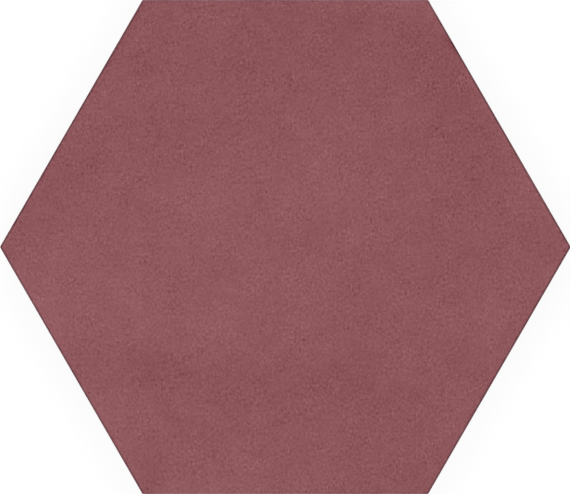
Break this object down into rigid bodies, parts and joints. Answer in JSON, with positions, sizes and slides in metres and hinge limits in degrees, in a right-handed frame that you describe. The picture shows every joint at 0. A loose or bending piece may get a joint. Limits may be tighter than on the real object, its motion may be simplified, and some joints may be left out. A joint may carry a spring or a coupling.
{
  "type": "hexagon floor tile",
  "caption": "Regular hexagonal porcelain floor tile with a matt dusty burgundy face, bevelled edges, tapered sides and a honeycomb keying relief in its back.",
  "frame": {"origin": "middle of the back, in the plane that the tile is bedded on", "axes": "+Z out of the walking face; two corners of the hexagon point along +X and -X, and two sides are square to +Y and -Y"},
  "size_m": [0.2498, 0.2164, 0.009],
  "materials": {
    "matt_porcelain": "matte"
  },
  "bodies": {
    "root": {"hexagon_tile": "matt_porcelain"}
  },
  "joints": []
}
